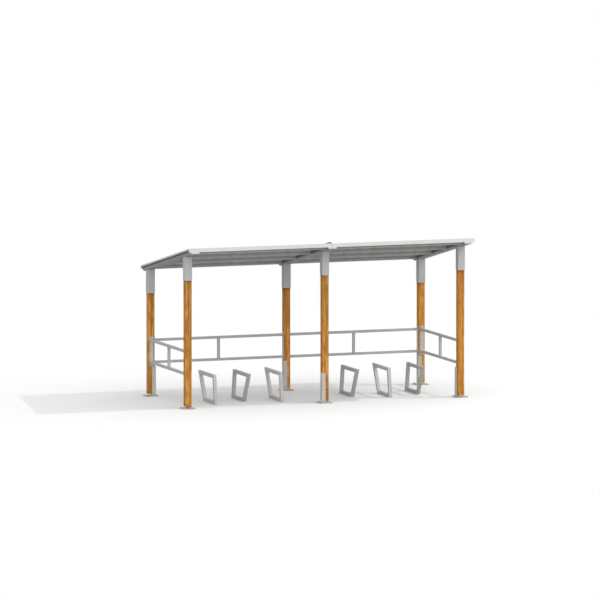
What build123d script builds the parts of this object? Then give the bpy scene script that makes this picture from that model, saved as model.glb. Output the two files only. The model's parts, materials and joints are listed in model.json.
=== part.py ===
"""Bike shelter: timber posts in steel feet and heads, a pent roof on a steel grid,
rails on three sides and a row of leaning wheel racks. Lengths in millimetres."""
import os
from math import atan2, cos, sin

from build123d import *

os.makedirs("parts", exist_ok=True)

# Plan and heights of the whole shelter
BAY = 2200              # post centres along the front
DEPTH = 1730            # front post row to rear post row
FRONT_SEAT = 2307       # underside of the rafters over the front posts
REAR_SEAT = 1938        # underside of the rafters over the rear posts
FRONT_REACH = 365       # roof in front of the front post row
REAR_REACH = 172        # roof behind the rear post row
SIDE_REACH = 100        # roof beyond the outer post lines
FIT = 0.5               # clearance between timber and the steel around it
OVERRUN = 20            # how far a cutter runs past what it cuts

# Timber posts
POST = 100
POST_ARRIS = 4          # bevel along the corners
POST_GAP = 36           # timber kept off the ground

# Steel feet: base plate and a square stub let into one corner of the timber
PLATE = 200
PLATE_THICK = 10
PLATE_CORNER = 8
ANCHOR_SPACING = 150
ANCHOR_HOLE = 14
STUB = 60
STUB_CORNER = 5
STUB_TOP = 460
STUB_PROUD = 16         # stub stands out from the timber faces

# Steel heads: square sleeves with a sloping cap
HEAD_WALL = 5.5
HEAD_CAP = 8
HEAD_LENGTH = 355       # on the post's centre line
HEAD_CORNER = 6

# Roof grid
RAFTER_WIDE = 140
RAFTER_DEEP = 60
RAFTER_CORNER = 28      # rounding of the two lower corners
PURLIN_WIDE = 40
PURLIN_RISE = 10        # underside of the purlins above that of the rafters
PURLIN_ARRIS = 3
PURLIN_COUNT = 4
PURLIN_FRONT = 110      # roof's front edge to the first purlin's centre, on plan
PURLIN_REAR = 144       # roof's rear edge to the last purlin's centre, on plan

# Roof sheets, front fascia, rear trim and the strip over the sheets' joint
SHEET = 1
RIB_HIGH = 25
RIB_TOP = 36
RIB_BASE = 70
RIB_SPACES = 10         # rib spaces across each sheet
EDGE_FLAT = 45          # raised flat along a sheet's edges
JOINT_GAP = 4           # between the two sheets
FASCIA_THICK = 2
FASCIA_HIGH = 59
FASCIA_LEAF = 40
TAB_WIDE = 140          # tabs of the fascia over the rafters' ends
TAB_HANG = 21           # tabs below the fascia's lower edge
TAB_CORNER = 18
TRIM_HIGH = 50
TRIM_LEAF = 40
TRIM_THICK = 2
STRIP_WIDE = 50
STRIP_HIGH = 30
STRIP_THICK = 2
STRIP_START = 100       # strip begins behind the roof's front edge

# Rails
RAIL_TUBE = 40
RAIL_ARRIS = 3
RAIL_LOW = 520
RAIL_HIGH = 860
RAIL_PLATE_WIDE = 60
RAIL_PLATE_THICK = 6
RAIL_PLATE_OVER = 35    # plate beyond the rails' edges, above and below

# Wheel racks
RACK_TUBE = 50
RACK_CORNER = 4
RACK_FOOT = 537         # length on the ground
RACK_HIGH = 447
RACK_STEEP = 72         # inward lean of the steep end
RACK_SLANT = 234        # outward lean of the slanted end
RACK_SPACING = 534
RACK_BACK = 688         # middle of the racks behind the front post row
RACK_SHIFT = {"left": 0, "right": 85}   # each group of racks off the middle of its bay

# Places worked out from the sizes above
PITCH = atan2(FRONT_SEAT - REAR_SEAT, DEPTH)
FRONT_Y = -(DEPTH + REAR_REACH - FRONT_REACH) / 2
REAR_Y = FRONT_Y + DEPTH
COLUMNS = {"left": -BAY, "middle": 0, "right": BAY}
ROWS = {"front": FRONT_Y, "rear": REAR_Y}
SEATS = {"front": FRONT_SEAT, "rear": REAR_SEAT}
BAYS = {"left": -1, "right": 1}
SHEET_TOP = RAFTER_DEEP + RIB_HIGH
FASCIA_TOP = SHEET_TOP + FASCIA_THICK
TRIM_TOP = SHEET_TOP + TRIM_THICK
TAB_LOW = FASCIA_TOP - FASCIA_HIGH - TAB_HANG
ROOF_FRONT = FASCIA_THICK - (FRONT_REACH + TAB_LOW * sin(PITCH)) / cos(PITCH)
ROOF_REAR = (DEPTH + REAR_REACH - TRIM_TOP * sin(PITCH)) / cos(PITCH) - TRIM_THICK
ROOF_SIDE = BAY + SIDE_REACH
HEAD = POST + 2 * (FIT + HEAD_WALL)

# The corner of each post that its stub is let into, as signs of X and Y
STUB_CORNERS = {
    ("front", "left"): (1, 1),
    ("front", "middle"): (-1, -1),
    ("front", "right"): (-1, 1),
    ("rear", "left"): (1, -1),
    ("rear", "middle"): (-1, -1),
    ("rear", "right"): (-1, -1),
}

# Underside of the roof grid: local x along the front, y down the slope, z square to the roof
ROOF = Plane(
    origin=(0, FRONT_Y, FRONT_SEAT),
    x_dir=(1, 0, 0),
    z_dir=(0, sin(PITCH), cos(PITCH)),
)


def across_slope(down):
    """Plane square to the slope: x along the front, y out of the roof, z up the slope."""
    return Plane(origin=ROOF.from_local_coords((0, down, 0)), x_dir=ROOF.x_dir, z_dir=-ROOF.y_dir)


def along_front(x, down):
    """Plane square to the front: x down the slope, y out of the roof, z along the front."""
    return Plane(origin=ROOF.from_local_coords((x, down, 0)), x_dir=ROOF.y_dir, z_dir=ROOF.x_dir)


def save(piece, name):
    """Label a finished piece and write it under its node name."""
    piece.label = name
    export_step(piece, f"parts/{name}.step")


def stub_centre(place):
    """Centre of the stub that stands proud of two faces of the timber."""
    offset = POST / 2 + STUB_PROUD - STUB / 2
    side_x, side_y = STUB_CORNERS[place]
    row, column = place
    return COLUMNS[column] + side_x * offset, ROWS[row] + side_y * offset


def make_post(place):
    """Square timber with bevelled corners, notched over its stub, top cut to the pitch."""
    row, column = place
    seat = SEATS[row]
    with BuildPart() as post:
        with BuildSketch(Plane.XY.offset(POST_GAP)) as section:
            with Locations((COLUMNS[column], ROWS[row])):
                Rectangle(POST, POST)
            chamfer(section.vertices(), POST_ARRIS)
        extrude(amount=seat)
        split(bisect_by=ROOF.offset(-HEAD_CAP), keep=Keep.BOTTOM)
        with BuildSketch(Plane.XY):
            with Locations(stub_centre(place)):
                Rectangle(STUB + 2 * FIT, STUB + 2 * FIT)
        extrude(amount=STUB_TOP, mode=Mode.SUBTRACT)
    save(post.part, f"post_{row}_{column}")


def make_foot(place):
    """Base plate with anchor holes and the square stub welded on it."""
    row, column = place
    with BuildPart() as foot:
        with BuildSketch(Plane.XY):
            with Locations((COLUMNS[column], ROWS[row])):
                RectangleRounded(PLATE, PLATE, PLATE_CORNER)
                with GridLocations(ANCHOR_SPACING, ANCHOR_SPACING, 2, 2):
                    Circle(ANCHOR_HOLE / 2, mode=Mode.SUBTRACT)
        extrude(amount=PLATE_THICK)
        with BuildSketch(Plane.XY.offset(PLATE_THICK)):
            with Locations(stub_centre(place)):
                RectangleRounded(STUB, STUB, STUB_CORNER)
        extrude(amount=STUB_TOP - PLATE_THICK)
    save(foot.part, f"foot_{row}_{column}")


def make_head(place):
    """Square sleeve over the post's top, closed by a cap cut to the pitch."""
    row, column = place
    centre = (COLUMNS[column], ROWS[row])
    low = SEATS[row] - HEAD_LENGTH
    with BuildPart() as socket:
        with BuildSketch(Plane.XY.offset(low - OVERRUN)):
            with Locations(centre):
                Rectangle(POST + 2 * FIT, POST + 2 * FIT)
        extrude(amount=HEAD_LENGTH + HEAD)
        split(bisect_by=ROOF.offset(-HEAD_CAP), keep=Keep.BOTTOM)
    with BuildPart() as head:
        with BuildSketch(Plane.XY.offset(low)):
            with Locations(centre):
                RectangleRounded(HEAD, HEAD, HEAD_CORNER)
        extrude(amount=HEAD_LENGTH + HEAD)
        split(bisect_by=ROOF, keep=Keep.BOTTOM)
        add(socket.part, mode=Mode.SUBTRACT)
    save(head.part, f"head_{row}_{column}")


def make_rafter(column):
    """Flat box section down the slope, with its two lower corners rounded."""
    with BuildPart() as rafter:
        with BuildSketch(across_slope(ROOF_REAR)) as section:
            with Locations((COLUMNS[column], RAFTER_DEEP / 2)):
                Rectangle(RAFTER_WIDE, RAFTER_DEEP)
            fillet(section.vertices().group_by(Axis.Y)[0], RAFTER_CORNER)
        extrude(amount=ROOF_REAR - ROOF_FRONT)
    save(rafter.part, f"rafter_{column}")


def make_purlins(side):
    """Box sections between the rafters of one bay, evenly spaced down the slope."""
    first = ROOF_FRONT + PURLIN_FRONT / cos(PITCH)
    last = ROOF_REAR - PURLIN_REAR / cos(PITCH)
    step = (last - first) / (PURLIN_COUNT - 1)
    start = min(0, BAYS[side] * BAY) + RAFTER_WIDE / 2
    for index in range(PURLIN_COUNT):
        with BuildPart() as purlin:
            with BuildSketch(along_front(start, first + index * step)) as section:
                with Locations((0, (PURLIN_RISE + RAFTER_DEEP) / 2)):
                    Rectangle(PURLIN_WIDE, RAFTER_DEEP - PURLIN_RISE)
                chamfer(section.vertices(), PURLIN_ARRIS)
            extrude(amount=BAY - RAFTER_WIDE)
        save(purlin.part, f"purlin_{side}_{index + 1}")


def rib_line(wide):
    """Points across a sheet: a raised flat along each edge, ribs between, flat pans."""
    step = wide / RIB_SPACES
    flank = (RIB_BASE - RIB_TOP) / 2
    points = [(0, RIB_HIGH), (EDGE_FLAT, RIB_HIGH), (EDGE_FLAT + flank, SHEET)]
    for index in range(1, RIB_SPACES):
        centre = index * step
        points.append((centre - RIB_BASE / 2, SHEET))
        points.append((centre - RIB_TOP / 2, RIB_HIGH))
        points.append((centre + RIB_TOP / 2, RIB_HIGH))
        points.append((centre + RIB_BASE / 2, SHEET))
    points += [(wide - EDGE_FLAT - flank, SHEET), (wide - EDGE_FLAT, RIB_HIGH), (wide, RIB_HIGH)]
    return points


def make_sheet(side):
    """Ribbed steel sheet over one bay, with a lip turned down along the verge."""
    outward = BAYS[side]
    wide = ROOF_SIDE - JOINT_GAP / 2
    top = [(outward * (ROOF_SIDE - x), RAFTER_DEEP + z) for x, z in rib_line(wide)]
    under = [(x, z - SHEET) for x, z in reversed(top)]
    with BuildPart() as sheet:
        with BuildSketch(across_slope(ROOF_REAR)):
            with BuildLine():
                Polyline(*top, *under, close=True)
            make_face()
            with Locations((outward * (ROOF_SIDE - SHEET / 2), RAFTER_DEEP + RIB_HIGH / 2)):
                Rectangle(SHEET, RIB_HIGH)
        extrude(amount=ROOF_REAR - ROOF_FRONT)
    save(sheet.part, f"roof_sheet_{side}")


def make_fascia(side):
    """Folded angle over the front ends of the ribs, its front leaf hanging down in round-cornered
    tabs over the rafters' ends; the tab at the joint is shared by both bays."""
    outward = BAYS[side]
    inner = JOINT_GAP / 2
    wide = ROOF_SIDE - inner
    middle = outward * (inner + wide / 2)
    half_tab = TAB_WIDE / 2 - inner
    with BuildPart() as fascia:
        with BuildSketch(across_slope(ROOF_FRONT)) as leaf:
            with Locations((middle, FASCIA_TOP)):
                Rectangle(wide, FASCIA_HIGH, align=(Align.CENTER, Align.MAX))
            with Locations((outward * BAY, FASCIA_TOP)):
                Rectangle(TAB_WIDE, FASCIA_HIGH + TAB_HANG, align=(Align.CENTER, Align.MAX))
            with Locations((outward * (inner + half_tab / 2), FASCIA_TOP)):
                Rectangle(half_tab, FASCIA_HIGH + TAB_HANG, align=(Align.CENTER, Align.MAX))
            lowest = leaf.vertices().group_by(Axis.Y)[0]
            fillet([corner for corner in lowest if abs(corner.X) > JOINT_GAP], TAB_CORNER)
        extrude(amount=FASCIA_THICK)
        with BuildSketch(across_slope(ROOF_FRONT + FASCIA_LEAF)):
            with Locations((middle, FASCIA_TOP)):
                Rectangle(wide, FASCIA_THICK, align=(Align.CENTER, Align.MAX))
        extrude(amount=FASCIA_LEAF)
    save(fascia.part, f"fascia_{side}")


def make_trim():
    """Folded angle along the whole rear edge, over the rear ends of the ribs."""
    with BuildPart() as trim:
        with BuildSketch(along_front(-ROOF_SIDE, ROOF_REAR)):
            with Locations((TRIM_THICK, TRIM_TOP)):
                Rectangle(TRIM_THICK, TRIM_HIGH, align=(Align.MAX, Align.MAX))
                Rectangle(TRIM_LEAF, TRIM_THICK, align=(Align.MAX, Align.MAX))
        extrude(amount=2 * ROOF_SIDE)
    save(trim.part, "rear_trim")


def make_strip():
    """Inverted channel over the joint of the two sheets, its edges on their ribs."""
    front = ROOF_FRONT + STRIP_START
    rear = ROOF_REAR + TRIM_THICK - TRIM_LEAF
    with BuildPart() as strip:
        with BuildSketch(across_slope(rear)):
            with Locations((0, SHEET_TOP)):
                Rectangle(STRIP_WIDE, STRIP_HIGH, align=(Align.CENTER, Align.MIN))
                Rectangle(
                    STRIP_WIDE - 2 * STRIP_THICK,
                    STRIP_HIGH - STRIP_THICK,
                    align=(Align.CENTER, Align.MIN),
                    mode=Mode.SUBTRACT,
                )
        extrude(amount=rear - front)
    save(strip.part, "joint_strip")


def make_rail(name, start, direction, length):
    """Welded panel between two post faces: two rails, a middle upright and two end plates."""
    frame = Plane(origin=start, x_dir=direction, z_dir=Vector(direction).cross(Vector(0, 0, 1)))
    middle_height = (RAIL_LOW + RAIL_HIGH) / 2
    plate_high = RAIL_HIGH - RAIL_LOW + RAIL_TUBE + 2 * RAIL_PLATE_OVER
    with BuildPart() as rail:
        for height in (RAIL_LOW, RAIL_HIGH):
            origin = frame.from_local_coords((RAIL_PLATE_THICK, height, 0))
            with BuildSketch(Plane(origin=origin, x_dir=frame.z_dir, z_dir=frame.x_dir)) as section:
                Rectangle(RAIL_TUBE, RAIL_TUBE)
                chamfer(section.vertices(), RAIL_ARRIS)
            extrude(amount=length - 2 * RAIL_PLATE_THICK)
        foot = frame.from_local_coords((length / 2, RAIL_LOW + RAIL_TUBE / 2, 0))
        with BuildSketch(Plane(origin=foot, x_dir=frame.x_dir, z_dir=frame.y_dir)) as section:
            Rectangle(RAIL_TUBE, RAIL_TUBE)
            chamfer(section.vertices(), RAIL_ARRIS)
        extrude(amount=RAIL_HIGH - RAIL_LOW - RAIL_TUBE)
        for end in (0, length - RAIL_PLATE_THICK):
            origin = frame.from_local_coords((end, middle_height, 0))
            with BuildSketch(Plane(origin=origin, x_dir=frame.z_dir, z_dir=frame.x_dir)):
                Rectangle(RAIL_PLATE_WIDE, plate_high)
            extrude(amount=RAIL_PLATE_THICK)
    save(rail.part, name)


def make_rack(name, x, turned):
    """Closed loop of square tube on the ground, one end steep and one slanted the same way."""
    middle = (RACK_FOOT + RACK_SLANT) / 2
    outline = [(0, 0), (RACK_FOOT, 0), (RACK_FOOT + RACK_SLANT, RACK_HIGH), (RACK_STEEP, RACK_HIGH)]
    facing = -1 if turned else 1
    with BuildPart() as rack:
        upright = Plane(origin=(x, FRONT_Y + RACK_BACK, 0), x_dir=(0, facing, 0), z_dir=(facing, 0, 0))
        with BuildSketch(upright):
            with BuildLine():
                Polyline(*[(y - middle, z) for y, z in outline], close=True)
            make_face()
            offset(amount=-RACK_TUBE, kind=Kind.INTERSECTION, mode=Mode.SUBTRACT)
        extrude(amount=RACK_TUBE / 2, both=True)
        fillet(rack.edges().filter_by(Axis.X, reverse=True), RACK_CORNER)
    save(rack.part, name)


for row in ROWS:
    for column in COLUMNS:
        make_post((row, column))
        make_foot((row, column))
        make_head((row, column))

for column in COLUMNS:
    make_rafter(column)

for side in BAYS:
    make_purlins(side)
    make_sheet(side)
    make_fascia(side)

make_trim()
make_strip()

for side, outward in BAYS.items():
    bay_start = min(0, outward * BAY) + POST / 2
    make_rail(f"rail_rear_{side}", (bay_start, REAR_Y, 0), (1, 0, 0), BAY - POST)
    make_rail(f"rail_side_{side}", (outward * BAY, FRONT_Y + POST / 2, 0), (0, 1, 0), DEPTH - POST)
    for index in range(3):
        rack_x = outward * BAY / 2 + RACK_SHIFT[side] + (index - 1) * RACK_SPACING
        make_rack(f"rack_{side}_{index + 1}", rack_x, (index + (outward > 0)) % 2 == 1)
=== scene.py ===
# %% [markdown]
# A bike shelter: six timber posts in steel feet and heads carry a pent roof over a row of
# wheel racks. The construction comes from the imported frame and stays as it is. This file
# gives each surface its finish and adds what a fitter adds on site: anchors, bolts, welds
# and roof screws. All lengths are metres, in the frame's own axes: X along the open front,
# Y to the rear rails, Z up.

# %% Load the frame
import json
import math

import bpy
import bmesh
import numpy as np
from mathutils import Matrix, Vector


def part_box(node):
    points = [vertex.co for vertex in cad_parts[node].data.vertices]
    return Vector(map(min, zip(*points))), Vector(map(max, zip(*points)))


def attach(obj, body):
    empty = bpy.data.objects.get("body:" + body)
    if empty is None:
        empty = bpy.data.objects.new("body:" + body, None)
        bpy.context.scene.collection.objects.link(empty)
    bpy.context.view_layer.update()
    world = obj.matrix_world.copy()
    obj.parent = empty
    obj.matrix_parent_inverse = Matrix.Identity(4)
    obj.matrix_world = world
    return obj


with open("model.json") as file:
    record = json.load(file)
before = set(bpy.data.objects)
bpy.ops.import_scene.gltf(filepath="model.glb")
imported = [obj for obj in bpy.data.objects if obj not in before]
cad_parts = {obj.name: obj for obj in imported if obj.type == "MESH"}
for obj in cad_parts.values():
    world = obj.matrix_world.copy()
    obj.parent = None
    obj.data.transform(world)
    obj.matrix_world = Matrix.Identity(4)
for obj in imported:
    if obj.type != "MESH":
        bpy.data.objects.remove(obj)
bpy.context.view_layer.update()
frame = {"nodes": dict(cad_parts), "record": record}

NODES = frame["nodes"]

# %% [markdown]
# The rest of the script needs to know where the posts stand and how the roof lies. Both
# could be typed in again, but the frame already holds them: a post's box gives its centre,
# and the tops of a front and a rear head give the pitch. Reading them keeps every added
# piece on what carries it when the frame changes.

# %% Measure the frame
PLACES = [(row, column) for row in ("front", "rear") for column in ("left", "middle", "right")]


def box(node):
    """Lowest and highest corner of a node as two arrays."""
    low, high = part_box(node)
    return np.array(low), np.array(high)


def centre(node):
    """Middle of a node's box."""
    low, high = box(node)
    return (low + high) / 2


def corners_of(node):
    """All the points of a node's mesh as rows of x, y and z."""
    mesh = NODES[node].data
    flat = np.zeros(3 * len(mesh.vertices))
    mesh.vertices.foreach_get("co", flat)
    return flat.reshape(-1, 3)


def nodes_named(*starts):
    """Names of the CAD nodes that start with one of the words."""
    return [name for name in NODES if name.startswith(starts)]


def node_at(kind, place):
    """Name of the post, foot or head at a place, which is a row and a column."""
    return "%s_%s_%s" % (kind, *place)


POSTS = np.array([centre(node_at("post", place)) for place in PLACES])
HEAD_LOWS = [box(node_at("head", place))[0][2] for place in PLACES]
FRONT_Y = centre("post_front_middle")[1]
DEPTH = centre("post_rear_middle")[1] - FRONT_Y
HEAD_LOW, HEAD_HIGH = box("head_front_middle")
FALL = HEAD_HIGH[2] - box("head_rear_middle")[1][2]
PITCH = math.atan2(FALL, DEPTH)
SEAT = HEAD_HIGH[2] - (HEAD_HIGH[1] - FRONT_Y) * math.tan(PITCH)
print("depth %.3f, seat %.3f, pitch %.2f degrees" % (DEPTH, SEAT, math.degrees(PITCH)))

# %% [markdown]
# What lies on the roof is easiest to place in the roof's own axes: along the front, down the
# slope and straight out of it. They start on the rafters' underside, over the front posts.

# %% Roof axes
ACROSS = np.array([1.0, 0, 0])
DOWN = np.array([0, math.cos(PITCH), -math.sin(PITCH)])
OUT = np.array([0, math.sin(PITCH), math.cos(PITCH)])
ROOF_AXES = np.array([ACROSS, DOWN, OUT])
ROOF_START = np.array([0, FRONT_Y, SEAT])


def on_roof(x, down, out):
    """Points x along the front, down the slope and out of it, from the rafters' underside."""
    x, down, out = np.broadcast_arrays(x, down, out)
    return ROOF_START + np.stack([x, down, out], -1) @ ROOF_AXES


def down_slope(points):
    """How far down the slope points lie."""
    return (points - ROOF_START) @ DOWN


print("roof starts at", np.round(ROOF_START, 3).tolist())

# %% [markdown]
# The photograph looks from far off to the left of the middle, a little above eye level, so
# the parallel edges hardly converge. A long lens from a long way gives that. The lens comes
# from how many pixels of the 600 pixel picture one metre takes at the aim point.

# %% Camera
PICTURE = 600
PIXELS_PER_METRE = 65.62
AZIMUTH = math.radians(-19.73)
ELEVATION = math.radians(6.32)
DISTANCE = 160
AIM = Vector((-0.124, -0.011, 1.497))
SENSOR = 36
scene = bpy.context.scene


def add_object(name, data):
    """A new object at the origin, linked to the scene."""
    thing = bpy.data.objects.new(name, data)
    scene.collection.objects.link(thing)
    return thing


camera_data = bpy.data.cameras.new("camera")
camera_data.sensor_width = SENSOR
camera_data.lens = SENSOR * DISTANCE * PIXELS_PER_METRE / PICTURE
camera_data.clip_start = 1
camera_data.clip_end = 4 * DISTANCE
camera = add_object("camera", camera_data)
towards_camera = Vector((
    math.sin(AZIMUTH) * math.cos(ELEVATION),
    -math.cos(AZIMUTH) * math.cos(ELEVATION),
    math.sin(ELEVATION),
))
camera.location = AIM + DISTANCE * towards_camera
camera.rotation_mode = "QUATERNION"
camera.rotation_quaternion = (-towards_camera).to_track_quat("-Z", "Y")
scene.camera = camera
scene.view_settings.view_transform = "Standard"
print("camera lens %.0f mm at %.0f m" % (camera_data.lens, DISTANCE))

# %% [markdown]
# A finish or a light is a small graph of nodes. Making every node, socket and link by hand
# takes many lines that all look alike, so one helper adds a node and feeds its inputs from
# numbers or from other nodes. Another finds the graph from those nodes, so that a recipe needn't
# say where it is. The short ones after them name the steps that come up most.

# %% Node helpers
def add_node(tree, kind, feeds=(), **options):
    """Add a node, set its options, feed its inputs from values or sockets, and give its outputs."""
    node = tree.nodes.new("ShaderNode" + kind)
    for option, value in options.items():
        setattr(node, option, value)
    for socket, source in dict(feeds).items():
        if isinstance(source, bpy.types.NodeSocket):
            tree.links.new(source, node.inputs[socket])
        else:
            node.inputs[socket].default_value = source
    return node.outputs


def follow(kind, feeds, **options):
    """Add a node to the tree that its first source lives in."""
    sources = [source for source in feeds.values() if isinstance(source, bpy.types.NodeSocket)]
    return add_node(sources[0].id_data, kind, feeds, **options)


def calc(operation, *values):
    """One Math node on numbers or sockets."""
    return follow("Math", dict(enumerate(values)), operation=operation)[0]


def vector_calc(operation, *values):
    """One Vector Math node; a length or a dot product comes back as a number."""
    outputs = follow("VectorMath", dict(enumerate(values)), operation=operation)
    return outputs["Value" if operation in ("LENGTH", "DOT_PRODUCT") else "Vector"]


def ramp(value, start, end, low=0.0, high=1.0):
    """Smooth step of a value: low at start, high at end, level beyond both."""
    feeds = {"Value": value, "From Min": start, "From Max": end, "To Min": low, "To Max": high}
    return follow("MapRange", feeds, interpolation_type="SMOOTHSTEP")[0]


def mix_colours(share, first, second):
    """The first colour where share is 0 and the second where it is 1."""
    return follow("Mix", {0: share, 6: first, 7: second}, data_type="RGBA")[2]


print("node helpers ready")

# %% [markdown]
# Most marks start from noise, which by itself looks like clouds. Stretched along one axis it
# turns into streaks, and pushed apart, so that low values become nothing and high ones full, it
# turns into patches with an edge.

# %% Noise helpers
def cloud(place, blobs, detail=2.0):
    """Soft noise from 0 to 1, with so many blobs to a metre, the same or one number per axis."""
    stretch = blobs if isinstance(blobs, tuple) else (blobs,) * 3
    scaled = vector_calc("MULTIPLY", place, stretch)
    return follow("TexNoise", {"Vector": scaled, "Scale": 1.0, "Detail": detail})[0]


def patches(place, blobs, start, end, detail=2.0, low=0.0, high=1.0):
    """Noise pushed apart: low where it is under start and high where it is over end."""
    return ramp(cloud(place, blobs, detail), start, end, low, high)


print("noise helpers ready")

# %% [markdown]
# The light is a pale sky and one mild lamp. The sky gives the soft dark ground under the roof,
# and the lamp throws the roof's shadow to the left. In the photograph that shadow is wider than
# the roof, so its lamp hangs at a finite height: the four corners of the shadow and of the roof
# give four lines, and the lamp is where they meet. The sky leans like a studio screen, brighter
# towards the front and the right, so that left faces are darker than front ones. To the camera
# and in reflections it is plain white.

# %% Lamp and sky
LAMP_PLACE = Vector((16.7, -4.75, 23.1))
LAMP_LIGHT = 0.66
LAMP_RADIUS = 0.14
SKY_LIGHT = 0.97
SKY_LEAN = (0.16, -0.48, 0)
WHITE = (1, 1, 1, 1)


def empty_tree(owner):
    """The node tree of a world or a material, cleared."""
    owner.use_nodes = True
    owner.node_tree.nodes.clear()
    return owner.node_tree


def seen_directly(tree):
    """1 for camera, glossy and transmission rays, and 0 for light on its way to a surface."""
    path = add_node(tree, "LightPath")
    first = calc("MAXIMUM", path["Is Camera Ray"], path["Is Glossy Ray"])
    return calc("MAXIMUM", first, path["Is Transmission Ray"])


def mix_shaders(share, first, second):
    """The first shader where share is 0 and the second where it is 1."""
    return follow("MixShader", {0: share, 1: first[0], 2: second[0]})


lamp_data = bpy.data.lights.new("lamp", "POINT")
lamp_data.energy = 4 * math.pi * LAMP_PLACE.length_squared * LAMP_LIGHT
lamp_data.shadow_soft_size = LAMP_RADIUS
add_object("lamp", lamp_data).location = LAMP_PLACE

scene.world = bpy.data.worlds.new("pale_sky")
sky_tree = empty_tree(scene.world)
towards = add_node(sky_tree, "TexCoord")["Generated"]
lean = vector_calc("DOT_PRODUCT", towards, SKY_LEAN)
sky_strength = calc("MULTIPLY_ADD", lean, SKY_LIGHT, SKY_LIGHT)
lighting_sky = add_node(sky_tree, "Background", {"Color": WHITE, "Strength": sky_strength})
seen_sky = add_node(sky_tree, "Background", {"Color": WHITE, "Strength": 1})
either_sky = mix_shaders(seen_directly(sky_tree), lighting_sky, seen_sky)
follow("OutputWorld", {"Surface": either_sky[0]})
print("lamp %.0f W at %.1f m, sky %.2f" % (lamp_data.energy, LAMP_PLACE.length, SKY_LIGHT))

# %% [markdown]
# The ground is one plain pale plane. What the camera sees of it is nearly white with the shadow
# on it, and further off plain white, because the lamp's light falls off with distance and the
# background of a cut-out picture doesn't. Light that bounces back up comes from a greyer floor,
# because real ground is darker than that.

# %% Floor
FLOOR_REACH = 300
SEEN_FLOOR = (0.925, 0.925, 0.925, 1)
BOUNCING_FLOOR = (0.42, 0.42, 0.41, 1)
WHITE_FROM, WHITE_AT = 5, 13
SQUARE = np.array([[-1.0, -1, 0], [1, -1, 0], [1, 1, 0], [-1, 1, 0]])

floor_mesh = bpy.data.meshes.new("floor")
floor_mesh.from_pydata((FLOOR_REACH * SQUARE).tolist(), [], [(0, 1, 2, 3)])
floor = add_object("floor", floor_mesh)
floor_material = bpy.data.materials.new("pale_floor")
floor_tree = empty_tree(floor_material)
bouncing = add_node(floor_tree, "BsdfDiffuse", {"Color": BOUNCING_FLOOR})
lit = add_node(floor_tree, "BsdfDiffuse", {"Color": SEEN_FLOOR})
white = add_node(floor_tree, "Emission")
floor_place = add_node(floor_tree, "TexCoord")["Object"]
far = ramp(vector_calc("LENGTH", floor_place), WHITE_FROM, WHITE_AT)
seen = mix_shaders(far, lit, white)
either_floor = mix_shaders(seen_directly(floor_tree), bouncing, seen)
follow("OutputMaterial", {"Surface": either_floor[0]})
floor_mesh.materials.append(floor_material)
print("floor", 2 * FLOOR_REACH, "m across")

# %% [markdown]
# Most effects here belong to more than one finish: rain runs down timber and steel alike, and
# mud splashes on whatever stands near the ground. Each is a node group, built once, with named
# inputs and outputs. A group gives out colours, masks and heights only, and the shader itself
# stays in each material. There are two sorts: one gives a whole surface, and the other one mask.

# %% Group helpers
def new_group(name, recipe, inputs, outputs):
    """A node group with named sockets, wired inside by a recipe that returns its outputs."""
    group = bpy.data.node_groups.new(name, "ShaderNodeTree")
    for way, sockets in (("INPUT", {"Place": "Vector", **inputs}), ("OUTPUT", outputs)):
        for socket, kind in sockets.items():
            group.interface.new_socket(name=socket, in_out=way, socket_type="NodeSocket" + kind)
    given = group.nodes.new("NodeGroupInput").outputs
    ends = group.nodes.new("NodeGroupOutput").inputs
    for socket, source in zip(outputs, recipe(given)):
        group.links.new(source, ends[socket])
    print("%-14s %d nodes" % (name, len(group.nodes)))
    return group


def surface_group(name, recipe, inputs):
    """A group that gives a colour, a roughness and a height at a place."""
    return new_group(name, recipe, inputs, {"Colour": "Color", "Roughness": "Float", "Height": "Float"})


def mask_group(name, masks, *sizes):
    """A group that gives one mask at a place: the product of two masks and an amount."""
    def recipe(given):
        return [calc("MULTIPLY", calc("MULTIPLY", *masks(given)), given["Amount"])]
    return new_group(name, recipe, dict.fromkeys((*sizes, "Amount"), "Float"), {"Mask": "Float"})


def use_group(group, **feeds):
    """Place a group in a tree, with its inputs fed by name."""
    named = {socket.replace("_", " ").capitalize(): source for socket, source in feeds.items()}
    return follow("Group", named, node_tree=group)


print("group helpers ready")

# %% [markdown]
# The posts are oiled softwood. A tree grows in rings round its pith, and a saw cuts across
# them, so the figure on a face comes from the rings in the volume. A flat picture of wood
# would have to be wrapped round the post and would break at its corners. Here the colour is
# worked out from the distance to the pith line at each point, so neighbouring faces agree.
# Knots grow outwards from the pith: they are blobs on a tube round it, and push the rings
# aside where they pass.

# %% Rings and knots
PITH_WANDER = 0.03
WANDERS_PER_METRE = 0.9
RING_WIDTH = 0.0052
RING_WAVES = (22, 22, 1.6)
LATE_POWER = 3.0
KNOT_TUBE = 0.064
KNOTS_PER_METRE = 6.4
KNOT_RADIUS = 0.013
KNOT_CORE = 0.6 * KNOT_RADIUS
KNOT_SWELL = 3.5 * KNOT_RADIUS
KNOT_PUSH = 0.009


def bend_pith(place):
    """The place, moved in X and Y by noise that changes with the height alone."""
    along = vector_calc("MULTIPLY", place, (0, 0, WANDERS_PER_METRE))
    wander = follow("TexNoise", {"Vector": along, "Scale": 1.0})["Color"]
    centred = vector_calc("SUBTRACT", wander, (0.5, 0.5, 0.5))
    return vector_calc("MULTIPLY_ADD", centred, (PITH_WANDER, PITH_WANDER, 0), place)


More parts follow.
